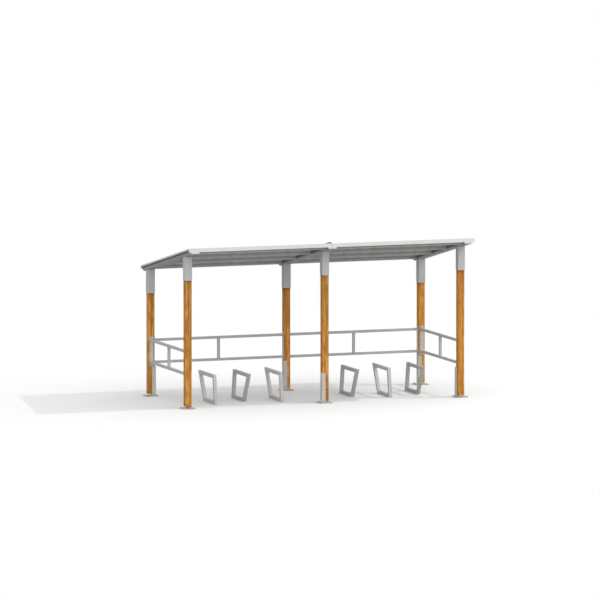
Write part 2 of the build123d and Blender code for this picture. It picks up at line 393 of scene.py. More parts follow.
def rings_and_knots(bent):
    """Late wood, from the distance to the pith over a ring's width, and the mask of the knots."""
    from_pith = vector_calc("MULTIPLY", bent, (1, 1, 0))
    along_pith = vector_calc("MULTIPLY", bent, (0, 0, 1))
    outward = vector_calc("NORMALIZE", from_pith)
    on_tube = vector_calc("MULTIPLY_ADD", outward, (KNOT_TUBE,) * 3, along_pith)
    nearest = follow("TexVoronoi", {"Vector": on_tube, "Scale": KNOTS_PER_METRE})
    distance = calc("DIVIDE", nearest["Distance"], KNOTS_PER_METRE)
    knot = ramp(distance, KNOT_RADIUS, KNOT_CORE)
    push = ramp(distance, KNOT_SWELL, KNOT_CORE, 0, KNOT_PUSH)
    waver = patches(bent, RING_WAVES, 0.2, 0.8, high=0.8 * RING_WIDTH)
    radius = vector_calc("LENGTH", from_pith)
    grown = calc("ADD", calc("SUBTRACT", radius, push), waver)
    ring = calc("FRACT", calc("DIVIDE", grown, RING_WIDTH))
    return calc("POWER", ring, LATE_POWER), knot


print("rings of %.1f mm" % (1000 * RING_WIDTH))

# %% [markdown]
# Over the rings lie longer marks: bands of redder heart, streaks along the grain, blotches from
# the oil and fine fibres. Each is noise stretched along the post, and mixes a darker wood in by
# its own share, so one loop lays them all.

# %% Timber grain group
HEART_BANDS = (17, 17, 1.5)
STREAKS = (58, 58, 0.6)
BLOTCHES = (25, 25, 6)
FIBRES = (900, 900, 16)


def timber_recipe(given):
    """Early wood with late wood, heart and knots mixed in by their masks."""
    bent = bend_pith(given["Place"])
    late, knot = rings_and_knots(bent)
    fibre = cloud(bent, FIBRES)
    wood = given["Early wood"]
    for mask, share, darker in (
            (late, 0.5, "Late wood"),
            (patches(bent, HEART_BANDS, 0.42, 0.66), 0.6, "Heart"),
            (patches(bent, STREAKS, 0.43, 0.58, detail=3), 0.75, "Late wood"),
            (patches(bent, BLOTCHES, 0.42, 0.6, detail=4), 0.58, "Late wood"),
            (fibre, 0.16, "Late wood")):
        wood = mix_colours(calc("MULTIPLY", mask, share), wood, given[darker])
    ridges = calc("MULTIPLY_ADD", late, 0.5, calc("MULTIPLY", fibre, 0.5))
    return mix_colours(knot, wood, given["Knot"]), ramp(late, 0, 1, 0.62, 0.46), ridges


WOODS = dict.fromkeys(("Early wood", "Late wood", "Heart", "Knot"), "Color")
timber_grain = surface_group("timber_grain", timber_recipe, WOODS)

# %% [markdown]
# Steel that stands outside is galvanised and then coated with powder, which melts and flows
# into a skin with a faint orange-peel. The skin's colour drifts a little over a hand's width,
# and its gloss is never quite even. One noise would look like clouds, so three sizes work
# together: drift, gloss patches and peel.

# %% Powder coat group
DRIFTS = 5
GLOSS_PATCHES = 34
PEEL_BUMPS = 620


def coat_recipe(given):
    """A colour and its shade mixed by drift and gloss patches, with the peel as height."""
    drift = patches(given["Place"], DRIFTS, 0.3, 0.75, detail=4)
    gloss = cloud(given["Place"], GLOSS_PATCHES, 3)
    peel = cloud(given["Place"], PEEL_BUMPS, 1)
    uneven = calc("MULTIPLY_ADD", gloss, 0.35, calc("MULTIPLY", drift, 0.65))
    colour = mix_colours(uneven, given["Colour"], given["Shade"])
    return colour, ramp(gloss, 0.25, 0.75, 0.42, 0.58), peel


powder_coat = surface_group("powder_coat", coat_recipe, {"Colour": "Color", "Shade": "Color"})

# %% [markdown]
# Weather leaves two marks. Rain runs down upright faces in narrow lines that are long in Z and
# thin across, and splashes mud on whatever is within a hand or two of the ground, more in some
# spots than in others. Both are masks, so each finish decides what colour its dirt has. The
# timber also uses the splash band, turned upside down, as painted shadow below each head.

# %% Rain and splash groups, the splash band also used for painted shadow
RUN_LINES = (55, 55, 0.9)
RUN_PLACES = (3, 3, 1.2)
SPLASH_EDGE = (26, 26, 18)
SPLASH_RAGGED = 0.16
SPLASH_SPOTS = 120


def rain_masks(given):
    """Thin upright lines, and the places where they show."""
    lines = patches(given["Place"], RUN_LINES, 0.52, 0.74, detail=3)
    return lines, patches(given["Place"], RUN_PLACES, 0.35, 0.65)


def splash_and_shadow_masks(given):
    """Full near the ground and nothing above the reach, with a ragged edge, and spots."""
    height = follow("SeparateXYZ", {0: given["Place"]})["Z"]
    edge = cloud(given["Place"], SPLASH_EDGE, 4)
    ragged = calc("MULTIPLY_ADD", edge, SPLASH_RAGGED, height)
    low_part = ramp(calc("DIVIDE", ragged, given["Reach"]), 1.0, 0.25)
    return low_part, patches(given["Place"], SPLASH_SPOTS, 0.4, 0.6, detail=3, low=0.45)


rain_runs = mask_group("rain_runs", rain_masks)
splash_and_shadow_band = mask_group("splash_and_shadow_band", splash_and_shadow_masks, "Reach")

# %% [markdown]
# Corners lose their coat first, where hands, tyres and locks rub. A mask of them could be
# painted, but the frame's parts are plain solids without a painting layout. The Bevel node gives
# the normal that a rounded corner would have, and where that differs from the face's own normal
# there is a corner. Scuffs are short thin lines, most of them level, as a pedal or a lock leaves
# them. The reverse of a corner is a recess, such as where purlins meet rafters. The last group
# marks recesses for painted shade: the Ambient Occlusion node says how much of the surroundings
# a point sees, so a low value marks a recess, and the finish darkens it there.

# %% Wear and recess shade groups
WORN_PATCHES = 28
LEVEL_SCUFFS = (38, 38, 640)
SLANTED_SCUFFS = (52, 52, 900)
SCUFF_SLANT = 0.6
RUBBED_PLACES = 7
RECESS_SHADE_PATCHES = 12


def corner_masks(given):
    """Corners, where the rounded normal and the face's own disagree, and worn patches."""
    rounded = follow("Bevel", {"Radius": given["Width"]}, samples=4)[0]
    own = add_node(rounded.id_data, "NewGeometry")["Normal"]
    corner = ramp(vector_calc("DOT_PRODUCT", rounded, own), 0.985, 0.88)
    return corner, patches(given["Place"], WORN_PATCHES, 0.38, 0.62, detail=4)


def scuff_masks(given):
    """Level and slanted thin lines, and the places that are rubbed."""
    slope = {"Vector": given["Place"], "Angle": SCUFF_SLANT}
    turned = follow("VectorRotate", slope, rotation_type="X_AXIS")
    level = patches(given["Place"], LEVEL_SCUFFS, 0.62, 0.7)
    slanted = patches(turned[0], SLANTED_SCUFFS, 0.65, 0.72)
    lines = calc("MAXIMUM", level, slanted)
    return lines, patches(given["Place"], RUBBED_PLACES, 0.48, 0.64)


def recess_shade_masks(given):
    """Painted shade: full where a point sees little within reach of it, in uneven patches."""
    opening = follow("AmbientOcclusion", {"Distance": given["Reach"]}, samples=8)["AO"]
    uneven_shade = patches(given["Place"], RECESS_SHADE_PATCHES, 0.25, 0.6, detail=4, low=0.75)
    return ramp(opening, 0.88, 0.45), uneven_shade


corner_wear = mask_group("corner_wear", corner_masks, "Width")
scuffs = mask_group("scuffs", scuff_masks)
recess_shade = mask_group("recess_shade", recess_shade_masks, "Reach")

# %% [markdown]
# Steel straight from the zinc bath has no paint on it. The zinc sets in crystals, each a flat
# patch of its own brightness and gloss, and dulls to a chalky grey in the weather. A Voronoi
# pattern gives every cell one colour, so its cells stand for the crystals: a finger's width on
# a plate, and much smaller on a bolt, which is spun after dipping.

# %% Zinc spangle group
CHALK_PATCHES = 14
ZINC_GRAINS = 900


def zinc_recipe(given):
    """Bright and dull zinc mixed by the crystal's own value and by chalky patches."""
    cells = follow("TexVoronoi", {"Vector": given["Place"], "Scale": given["Crystals"]})
    crystal = follow("SeparateColor", {0: cells["Color"]})[0]
    chalk = patches(given["Place"], CHALK_PATCHES, 0.4, 0.7, detail=4)
    dulled = calc("MULTIPLY_ADD", crystal, 0.45, calc("MULTIPLY", chalk, 0.45))
    colour = mix_colours(dulled, given["Bright"], given["Dull"])
    return colour, ramp(dulled, 0, 0.9, 0.42, 0.62), cloud(given["Place"], ZINC_GRAINS)


ZINCS = {"Crystals": "Float", "Bright": "Color", "Dull": "Color"}
zinc_spangle = surface_group("zinc_spangle", zinc_recipe, ZINCS)

# %% [markdown]
# A finish is now a short recipe. These helpers start a material with the point's place in the
# frame, lay one mark after another over its colour, and wire colour, roughness and a bump into
# the shader. A tenth of a millimetre of bump is enough to break up a highlight. All these
# surfaces are matt to satin, so the gloss stays low, or faces seen edge-on would turn white.

# %% Finish helpers
SOFT_GLOSS = 0.02


def new_finish(name, move=(0, 0, 0), turn=(0, 0, 0)):
    """A material, its shader and the point's place, as it is and moved or turned."""
    material = bpy.data.materials.new(name)
    material.use_nodes = True
    tree = material.node_tree
    place = add_node(tree, "TexCoord")["Object"]
    placed = follow("Mapping", {"Vector": place, "Location": move, "Rotation": turn})
    return material, tree.nodes["Principled BSDF"], place, placed[0]


def mark(colour, group, stain, **feeds):
    """A colour with a stain over it where a mask group says so."""
    return mix_colours(use_group(group, **feeds)["Mask"], colour, stain)


def set_surface(shader, colour, roughness, height, depth):
    """Wire colour, roughness and a bump of so many metres into the shader."""
    bump = follow("Bump", {"Height": height, "Distance": depth, "Strength": 1.0})[0]
    for socket, source in (("Base Color", colour), ("Roughness", roughness), ("Normal", bump)):
        shader.id_data.links.new(source, shader.inputs[socket])
    shader.inputs["Specular IOR Level"].default_value = SOFT_GLOSS


def dress(nodes, material):
    """Give CAD nodes their finish."""
    for name in nodes:
        NODES[name].data.materials.clear()
        NODES[name].data.materials.append(material)
    print("%-22s on %d parts" % (material.name, len(nodes)))


print("finish helpers ready, gloss", SOFT_GLOSS)

# %% [markdown]
# Each post is cut from another log, so each gets its own pith line, some outside the section,
# which gives straight grain, and some inside it. A tone scales its late wood and heartwood; it is
# higher, so lighter, on the front right, rear middle and rear right posts. The colour is a honey
# brown from oil with redder heartwood. Rain leaves it greyer in runs. The foot is dark where
# water splashes on it. A narrow band of timber below the head's lower edge is painted shadow;
# that band is the splash mask again, fed with the height turned upside down.

# %% Timber finish
# One log for each of PLACES: its pith beside the post's middle in X and Y, a shift along it, a tone that
# scales its late wood and heartwood.
LOGS = (
    (0.075, 0.05, 0.0, 1.0), (-0.02, 0.085, 3.1, 1.0), (0.09, 0.03, 7.4, 1.15),
    (-0.07, 0.06, 11.2, 1.0), (0.05, 0.08, 15.9, 1.15), (-0.03, 0.07, 20.3, 1.4))
EARLY_WOOD = (0.96, 0.495, 0.128, 1)
LATE_WOOD = (0.36, 0.145, 0.027, 1)
HEARTWOOD = (0.62, 0.235, 0.05, 1)
KNOT_WOOD = (0.19, 0.062, 0.016, 1)
GREYED_WOOD = (0.33, 0.2, 0.095, 1)
SOAKED_WOOD = (0.26, 0.11, 0.03, 1)
HEAD_SHADOW_WOOD = (0.13, 0.055, 0.018, 1)
WOOD_RELIEF = 0.0005


def timber_finish(name, post, log, head_low):
    """Oiled softwood for one post, round its log's own pith line, with painted shadow below its head."""
    x, y, shift, tone = log
    late, heart = [tuple(tone * part for part in wood[:3]) + (1,) for wood in (LATE_WOOD, HEARTWOOD)]
    move = (-(post[0] + x), -(post[1] + y), shift)
    material, shader, seat, grain_seat = new_finish(name, move)
    grain = use_group(timber_grain, place=grain_seat, early_wood=EARLY_WOOD,
                      late_wood=late, heart=heart, knot=KNOT_WOOD)
    below_head = vector_calc("MULTIPLY_ADD", seat, (1, 1, -1), (0, 0, head_low))
    colour = mark(grain["Colour"], rain_runs, GREYED_WOOD, place=seat, amount=0.3)
    # Painted shadow: darkens a band of timber just below the head's lower edge.
    colour = mark(colour, splash_and_shadow_band, HEAD_SHADOW_WOOD, place=below_head, reach=0.16, amount=1.0)
    colour = mark(colour, corner_wear, LATE_WOOD, place=seat, width=0.008, amount=0.8)
    colour = mark(colour, splash_and_shadow_band, SOAKED_WOOD, place=seat, reach=0.24, amount=0.55)
    set_surface(shader, colour, grain["Roughness"], grain["Height"], WOOD_RELIEF)
    return material


for place, *post_log in zip(PLACES, POSTS, LOGS, HEAD_LOWS):
    dress([node_at("post", place)], timber_finish(node_at("timber", place), *post_log))

# %% [markdown]
# All coated steel follows one recipe: the powder coat, then rain runs, then mud near the
# ground, then scuffs and worn corners where the zinc shows, and painted shade in recesses. Only
# the colours and amounts differ, so the recipe is one function. The rails' end plates were left
# without a coat, so there the zinc shows from the start.

# %% Coat recipe
RUN_DIRT = (0.3, 0.29, 0.265, 1)
MUD = (0.21, 0.2, 0.18, 1)
RECESS_SHADE_COLOUR = (0.1, 0.098, 0.092, 1)
BARE_ZINC = (0.72, 0.72, 0.7, 1)
PLATE_ZINC = {"crystals": 90, "bright": (0.66, 0.64, 0.595, 1), "dull": (0.54, 0.52, 0.475, 1)}
PEEL_RELIEF = 0.00012
RAIL_PLATE = 0.006


def long_axis(panel):
    """The axis that a rail panel runs along: that of the longer side of its box."""
    low, high = box(panel)
    return int(np.argmax((high - low)[:2]))


def end_plates(seat, panel):
    """1 on a rail panel's end plates, which lie a plate's thickness inside its ends."""
    low, high = box(panel)
    run = long_axis(panel)
    along = follow("SeparateXYZ", {0: seat})[run]
    off_middle = calc("ABSOLUTE", calc("SUBTRACT", along, centre(panel)[run]))
    return calc("GREATER_THAN", off_middle, (high - low)[run] / 2 - 1.05 * RAIL_PLATE)


def coat_finish(name, colour, shade, rain, splash=0.0, rubbed=0.0, worn=0.0, recess_shading=0.0,
                turn=(0, 0, 0), bare_ends=None):
    """Powder coat in one colour with its amounts of rain, splash, scuffs, wear and painted shade in recesses.
    """
    material, shader, seat, turned = new_finish(name, turn=turn)
    coat = use_group(powder_coat, place=seat, colour=(*colour, 1), shade=(*shade, 1))
    finish = coat["Colour"]
    if bare_ends:
        zinc = use_group(zinc_spangle, place=seat, **PLATE_ZINC)
        finish = mix_colours(end_plates(seat, bare_ends), finish, zinc["Colour"])
    finish = mark(finish, rain_runs, RUN_DIRT, place=turned, amount=rain)
    finish = mark(finish, splash_and_shadow_band, MUD, place=seat, reach=0.22, amount=splash)
    scuffed = use_group(scuffs, place=seat, amount=rubbed)["Mask"]
    corner = use_group(corner_wear, place=seat, width=0.003, amount=worn)["Mask"]
    finish = mix_colours(calc("MAXIMUM", scuffed, corner), finish, BARE_ZINC)
    # Painted shade: recesses that the Ambient Occlusion node finds are darkened.
    if recess_shading:
        finish = mark(finish, recess_shade, RECESS_SHADE_COLOUR, place=seat, reach=0.16, amount=recess_shading)
    set_surface(shader, finish, coat["Roughness"], coat["Height"], PEEL_RELIEF)
    return material


print("coat recipe ready")

# %% [markdown]
# Each coat is now one row of a table: its name, the parts that wear it, its colour and shade,
# and its amounts. Three racks wear a darker copy of the rack coat, which is painted shade. The
# roof's sheets turn their place by the pitch, so that rain runs down the slope. Each rail panel
# has a coat of its own, because the place of its bare ends is part of it.

# %% Coats
# These three racks wear a darker copy of the rack coat, as painted shade.
SHADED_RACKS = ["rack_left_2", "rack_right_1", "rack_right_3"]
UNSHADED_RACKS = [name for name in nodes_named("rack") if name not in SHADED_RACKS]
RACK_MARKS = {"rain": 0.1, "splash": 0.12, "rubbed": 0.45, "worn": 0.3}
SLOPE_TURN = (math.pi / 2 + PITCH, 0, 0)
COATS = (
    ("grey_coat", ["head"], (0.605, 0.607, 0.602), (0.525, 0.527, 0.522), {"rain": 0.2, "worn": 0.4}),
    # The purlin and rafter rows darken their recesses with painted shade.
    ("purlin_coat", ["purlin"], (0.66, 0.66, 0.655), (0.58, 0.58, 0.575), {"rain": 0.1, "recess_shading": 0.45}),
    ("rafter_coat", ["rafter"], (0.41, 0.41, 0.405), (0.36, 0.36, 0.355),
     {"rain": 0.15, "worn": 0.2, "recess_shading": 1.0}),
    ("rack_coat_1", UNSHADED_RACKS, (0.65, 0.65, 0.65), (0.57, 0.57, 0.57), RACK_MARKS),
    ("rack_coat_painted_shade", SHADED_RACKS, (0.55, 0.55, 0.55), (0.48, 0.48, 0.48), RACK_MARKS),
    ("roof_coat", ["roof_sheet"], (0.66, 0.66, 0.655), (0.6, 0.6, 0.595), {"rain": 0.3, "turn": SLOPE_TURN}),
    ("fascia_coat", ["fascia", "rear_trim"], (0.73, 0.73, 0.725), (0.68, 0.68, 0.675),
     {"rain": 0.1, "worn": 0.15}),
    ("joint_coat", ["joint_strip"], (0.14, 0.14, 0.14), (0.1, 0.1, 0.1), {"rain": 0.2, "worn": 0.3}),
)
RAIL_COLOUR = (0.57, 0.572, 0.567)
RAIL_SHADE = (0.5, 0.502, 0.497)

coats = {}
for name, starts, colour, shade, amounts in COATS:
    coats[name] = coat_finish(name, colour, shade, **amounts)
    dress(nodes_named(*starts), coats[name])
for panel in nodes_named("rail"):
    rail_name = panel.replace("rail", "rail_coat")
    rail_coat = coat_finish(rail_name, RAIL_COLOUR, RAIL_SHADE, rain=0.15, worn=0.4, bare_ends=panel)
    dress([panel], rail_coat)

# %% [markdown]
# The feet are galvanised and stay bare, dulled by the weather and a little muddy near the
# ground. Bolts and nuts are spun zinc: smaller crystals, brighter, and with a metal's gloss.
# The washers under roof screws are dark rubber with a fine grain and a little dust.

# %% Zinc and rubber finishes
BOLT_ZINC = {"crystals": 420, "bright": (0.6, 0.6, 0.59, 1), "dull": (0.45, 0.45, 0.44, 1)}
RUBBER = (0.028, 0.028, 0.03, 1)
RUBBER_DUST = (0.085, 0.08, 0.072, 1)
RUBBER_GRAINS = 1400
DUST_PATCHES = 60
RUBBER_RELIEF = 0.0001


def zinc_finish(name, zinc, metal, splash):
    """Bare zinc with crystals of one size, as bright a metal as given, muddy near the ground."""
    material, shader, seat, _ = new_finish(name)
    spangle = use_group(zinc_spangle, place=seat, **zinc)
    colour = mark(spangle["Colour"], corner_wear, BARE_ZINC, place=seat, width=0.002, amount=0.4)
    colour = mark(colour, splash_and_shadow_band, MUD, place=seat, reach=0.14, amount=splash)
    set_surface(shader, colour, spangle["Roughness"], spangle["Height"], PEEL_RELIEF)
    shader.inputs["Metallic"].default_value = metal
    return material


def rubber_finish(name):
    """Dark rubber with dust in patches and a fine grain."""
    material, shader, seat, _ = new_finish(name)
    grains = cloud(seat, RUBBER_GRAINS)
    dust = patches(seat, DUST_PATCHES, 0.45, 0.7, detail=3)
    colour = mix_colours(dust, RUBBER, RUBBER_DUST)
    set_surface(shader, colour, ramp(grains, 0.3, 0.7, 0.68, 0.85), grains, RUBBER_RELIEF)
    return material


foot_zinc = zinc_finish("foot_zinc", PLATE_ZINC, metal=0, splash=0.9)
bolt_zinc = zinc_finish("bolt_zinc", BOLT_ZINC, metal=0.7, splash=0.3)
rubber = rubber_finish("dark_rubber")
dress(nodes_named("foot"), foot_zinc)

# %% [markdown]
# All added pieces are grids of points: one parameter runs round or along the shape and the
# other across it. A grid's faces follow from its numbering alone, and one shape is carried to
# all its places in one step, as one array. Where a row shrinks to a point its copies are merged,
# which closes the pole, and the normals are then turned outwards.

# %% Grid helpers
SHARP_EDGE = math.radians(38)
MERGE = 1e-6


def carry(shapes, origins, axes):
    """Copies of each grid: a point's three parts along each place's axes, from its origin."""
    origins = np.asarray(origins)
    axes = np.broadcast_to(axes, (len(origins), 3, 3))
    return [origins[:, None, None] + np.einsum("rci,nij->nrcj", shape, axes) for shape in shapes]


def grid_faces(copies, rows, columns, ring):
    """Quads between neighbouring points; columns close round, and rows too for a ring."""
    index = np.arange(rows * columns).reshape(rows, columns)
    index = np.hstack([index, index[:, :1]])
    if ring:
        index = np.vstack([index, index[:1]])
    corners = [index[:-1, :-1], index[:-1, 1:], index[1:, 1:], index[1:, :-1]]
    quads = np.stack(corners, -1).reshape(-1, 4)
    return (np.arange(copies)[:, None, None] * rows * columns + quads).reshape(-1, 4)


def make_piece(name, grids, finish, ring=False):
    """One mesh of many grids, whose rows close as well if they are rings."""
    points, faces, start = [], [], 0
    for grid in grids:
        copies, rows, columns, _ = grid.shape
        points.append(grid.reshape(-1, 3))
        faces.append(grid_faces(copies, rows, columns, ring) + start)
        start += copies * rows * columns
    mesh = bpy.data.meshes.new(name)
    mesh.from_pydata(np.vstack(points).tolist(), [], np.vstack(faces).tolist())
    shaped = bmesh.new()
    shaped.from_mesh(mesh)
    bmesh.ops.remove_doubles(shaped, verts=shaped.verts, dist=MERGE)
    bmesh.ops.recalc_face_normals(shaped, faces=shaped.faces)
    shaped.to_mesh(mesh)
    shaped.free()
    mesh.polygons.foreach_set("use_smooth", np.ones(len(mesh.polygons), bool))
    mesh.set_sharp_from_angle(angle=SHARP_EDGE)
    mesh.materials.append(finish)
    piece = add_object(name, mesh)
    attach(piece, "root")
    print("%-22s %6d faces" % (name, len(mesh.polygons)))


print("grid helpers ready")

# %% [markdown]
# Nuts, bolt heads, washers and studs are all turned shapes: a profile of radius and height
# carried round an axis. A hexagon is a turned shape too, if the radius changes with the angle.
# Its flat side lies at distance a, so the radius is a over the cosine of the angle from the
# flat's middle. The profile says for each row how much of the hexagon it takes, so a chamfered
# top can be round while the sides are flat.

# %% Turned shapes
ROUND_STEPS = 24
THREAD_PITCH = 0.00175
THREAD_DEPTH = 0.3 * THREAD_PITCH
STUD_TIP = 0.75
ANGLES = np.linspace(0, 2 * math.pi, ROUND_STEPS, endpoint=False)


def carry_round(reach, height):
    """Points at a reach from Z and at a height: reach times cos and sin of the angle."""
    return np.stack([reach * np.cos(ANGLES), reach * np.sin(ANGLES), height + 0 * ANGLES], -1)


def turn_profile(profile):
    """Rows of (radius, height, hexagon share) carried round Z."""
    to_corner = 1 / np.cos(np.mod(ANGLES, math.pi / 3) - math.pi / 6)
    radius, height, share = np.array(profile, float).T[:, :, None]
    return carry_round(radius * (1 + share * (to_corner - 1)), height)


def hexagon(flat, low, high):
    """A nut or bolt head: flat sides at a distance, and a round chamfered top."""
    side = high - 0.12 * (high - low)
    return turn_profile([(0, low, 0), (flat, low, 1), (flat, side, 1), (0.96 * flat, high, 0), (0, high, 0)])


def washer(outer, low, high):
    """A flat disc with softened rim."""
    soft = 0.25 * (high - low)
    return turn_profile([
        (0, low, 0), (outer, low, 0), (outer, high - soft, 0), (outer - soft, high, 0), (0, high, 0)])


def bolt_head(disc, flat, low, thick, high):
    """A washer of some thickness on a level, and a hexagon on it, so high over the level."""
    return [washer(disc, low, low + thick), hexagon(flat, low + thick, low + high)]


def dome(radius, high):
    """A button head: a low dome with a six-sided socket sunk in its top."""
    return turn_profile([
        (0, 0, 0), (radius, 0, 0), (0.97 * radius, 0.35 * high, 0), (0.78 * radius, 0.8 * high, 0),
        (0.5 * radius, high, 0), (0.4 * radius, high, 1), (0.4 * radius, 0.35 * high, 1), (0, 0.3 * high, 0)])


def threaded_end(radius, low, high):
    """A stud: the radius swings by a thread's depth with height over pitch minus the turn."""
    height = np.linspace(low, high, 4 * math.ceil((high - low) / THREAD_PITCH))[:, None]
    thread = THREAD_DEPTH * np.cos(2 * math.pi * height / THREAD_PITCH - ANGLES)
    taper = np.minimum(1, 0.3 * (high - height) / THREAD_PITCH + STUD_TIP)
    reach = np.pad((radius - THREAD_DEPTH + thread) * taper, ((1, 1), (0, 0)))
    return carry_round(reach, np.pad(height, ((1, 1), (0, 0)), mode="edge"))


print("turned shapes in", ROUND_STEPS, "steps")

# %% [markdown]
# Each foot is held down by four studs set in the ground, each with a washer and a low nut, and
# cut off short so that nobody trips on it. Their places come from the record's mounts, which
# say where the holes are, so a stud always stands in its hole. The nuts are turned by a
# different angle each, as a spanner leaves them.

# %% Ground anchors
MM = 0.001
PLATE_TOP = 0.01
STUD_RADIUS = 0.006
STUD_HIGH = 0.0115
NUT_FLAT = 0.009
NUT_HIGH = 0.0085
FOOT_WASHER = 0.011
FOOT_WASHER_THICK = 0.002
UPRIGHT = np.eye(3)
spread = np.random.default_rng(7)


def spun(axes, count):
    """The axes for so many nuts, each turned about its third axis by its own angle."""
    angles = spread.uniform(0, math.pi / 3, count)
    turns = np.tile(np.eye(3), (count, 1, 1))
    turns[:, 0, 0] = turns[:, 1, 1] = np.cos(angles)
    turns[:, 0, 1] = np.sin(angles)
    turns[:, 1, 0] = -np.sin(angles)
    return turns @ axes


def anchor_holes(mount):
    """The four holes of a foot: half the spacing to each side of the pattern's middle."""
    dims = mount["dims"]
    half = np.array([dims["spacing_x_mm"], dims["spacing_y_mm"], 0]) * MM / 2
    return np.array(mount["pos_m"]) + half * SQUARE


holes = np.vstack([anchor_holes(mount) for mount in frame["record"]["mounts"]])
anchor = bolt_head(FOOT_WASHER, NUT_FLAT, PLATE_TOP, FOOT_WASHER_THICK, NUT_HIGH)
anchor.append(threaded_end(STUD_RADIUS, PLATE_TOP, PLATE_TOP + STUD_HIGH))
make_piece("ground_anchors", carry(anchor, holes, spun(UPRIGHT, len(holes))), bolt_zinc)

# %% [markdown]
# A weld is a bead with ripples across it, one for each puff of the torch. It is a small closed
# profile carried along a path: the leg of the profile swings a little with the length walked
# along the path. The path is a square with rounded corners for tubes and stubs, and a straight
# line that thins out to nothing at both ends for the short seams.

# %% Weld beads
RIPPLE = 0.0028
BEAD_PROFILE = np.array([[1, -0.15], [0.74, 0.46], [0.46, 0.74], [-0.15, 1], [-0.15, -0.15]])
BEND_STEPS = 6
RUN_STEPS = 16
SEAM_STEPS = 8


def square_path(half_wide, half_deep, corner):
    """Round a square with round corners: points and outward directions, corner after corner."""
    angle = np.linspace(0, math.pi / 2, BEND_STEPS)
    turns = angle[None, :] + np.arange(4)[:, None] * math.pi / 2
    away = np.stack([np.cos(turns), np.sin(turns)], -1)
    knees = np.array([[1, 1], [-1, 1], [-1, -1], [1, -1]]) * [half_wide - corner, half_deep - corner]
    bends = knees[:, None] + corner * away
    next_bends = np.roll(bends[:, 0], -1, axis=0)
    runs = np.linspace(bends[:, -1], next_bends, RUN_STEPS + 2, axis=1)[:, 1:-1]
    run_away = np.repeat(away[:, -1:], RUN_STEPS, axis=1)
    path = np.concatenate([bends, runs], 1).reshape(-1, 2)
    return path, np.concatenate([away, run_away], 1).reshape(-1, 2)


def fillet_ring(half, corner, leg):
    """A bead round a square tube on a plate: rows along the path, columns round the bead."""
    path, away = square_path(half, half, corner)
    walked = np.cumsum(np.linalg.norm(path - np.roll(path, 1, axis=0), axis=1))
    swing = leg * (1 + 0.07 * np.cos(2 * math.pi * walked / RIPPLE) + 0.05 * np.sin(walked * 90))
    flat, high = swing[:, None, None] * BEAD_PROFILE.T[:, None, :, None]
    return np.concatenate([path[:, None] + flat * away[:, None], high], -1)


def seam(length, radius):
    """A straight bead along X: a ripple-edged tube whose radius falls to nothing at its ends."""
    along = np.linspace(-0.5, 0.5, 2 * math.ceil(length / RIPPLE) + 1)[:, None]
    ripples = 1 + 0.1 * np.cos(2 * math.pi * along * length / RIPPLE)
    reach = radius * (1 - (2 * np.abs(along)) ** 6) * ripples
    angle = np.linspace(0, 2 * math.pi, SEAM_STEPS, endpoint=False)
    return np.stack([along * length + 0 * angle, reach * np.cos(angle), reach * np.sin(angle)], -1)


print("bead ripple %.1f mm" % (1000 * RIPPLE))

# %% [markdown]
# The stub of each foot is welded to its plate all round. The stubs stand at different corners
# of their posts, so their places are read from the foot's own points above the plate. Two
# button-head screws go through each stub into the timber from the side.

# %% Foot welds and screws
NEAR = 0.001
STUB_ROUND = 0.005
FOOT_LEG = 0.0034
SCREW_HEIGHTS = (0.11, 0.39)


def stub_box(place):
    """Lowest and highest corner of the points at the top of a foot's stub."""
    points = corners_of(node_at("foot", place))
    top = points[points[:, 2] > points[:, 2].max() - NEAR]
    return top.min(0), top.max(0)


stub_boxes = np.array([stub_box(place) for place in PLACES])
STUB_HALF = np.ptp(stub_boxes[0, :, 0]) / 2
stub_feet = stub_boxes.mean(1) * [1, 1, 0]
stub_sides = np.sign(stub_feet - POSTS)[:, 0]
foot_bead = fillet_ring(STUB_HALF, STUB_ROUND, FOOT_LEG)
bead_seats = stub_feet + [0, 0, PLATE_TOP]
make_piece("foot_welds", carry([foot_bead], bead_seats, UPRIGHT), foot_zinc, ring=True)


def axes_along(direction):
    """Three axes with the third along a direction."""
    third = np.asarray(direction, float) / np.linalg.norm(direction)
    first = np.cross([0, 0, 1], third) if abs(third[2]) < 0.9 else np.cross([0, 1, 0], third)
    first = first / np.linalg.norm(first)
    return np.array([first, np.cross(third, first), third])


def side_screws(name, screw, feet, reaches, rises):
    """Screws that point left or right, so far to the side of each foot, at each rise above it."""
    seats = np.vstack([feet + np.outer(reaches, ACROSS) + [0, 0, rise] for rise in rises])
    axes = [axes_along(reach * ACROSS) for reach in np.tile(reaches, len(rises))]
    make_piece(name, carry([screw], seats, axes), bolt_zinc)


stub_screw = dome(radius=0.008, high=0.005)
side_screws("stub_screws", stub_screw, stub_feet, STUB_HALF * stub_sides, SCREW_HEIGHTS)

# %% [markdown]
# Each head is a sleeve over the post, held by two button-head screws on its left and two on
# its right side, where they don't show from the open front. Where a rafter rests on a head a
# short seam joins them in front and behind.

# %% Head screws and rafter seams
HEAD_HALF = (HEAD_HIGH[0] - HEAD_LOW[0]) / 2
HEAD_SCREW_RISES = (0.045, 0.12)
SEAM_LENGTH = 0.078
SEAM_RADIUS = 0.004

head_feet = np.tile(np.column_stack([POSTS[:, :2], HEAD_LOWS]), (2, 1))
head_reaches = np.repeat([-HEAD_HALF, HEAD_HALF], len(PLACES))
head_screw = dome(radius=0.0075, high=0.0045)
side_screws("head_screws", head_screw, head_feet, head_reaches, HEAD_SCREW_RISES)

seam_x = np.repeat(POSTS[:, 0], 2)
seam_y = np.repeat(POSTS[:, 1], 2) + HEAD_HALF * np.tile([-1, 1], len(PLACES))
seam_seats = on_roof(seam_x, (seam_y - FRONT_Y) / math.cos(PITCH), 0)
rafter_seam = seam(SEAM_LENGTH, SEAM_RADIUS)
make_piece("rafter_seams", carry([rafter_seam], seam_seats, ROOF_AXES), coats["rafter_coat"])

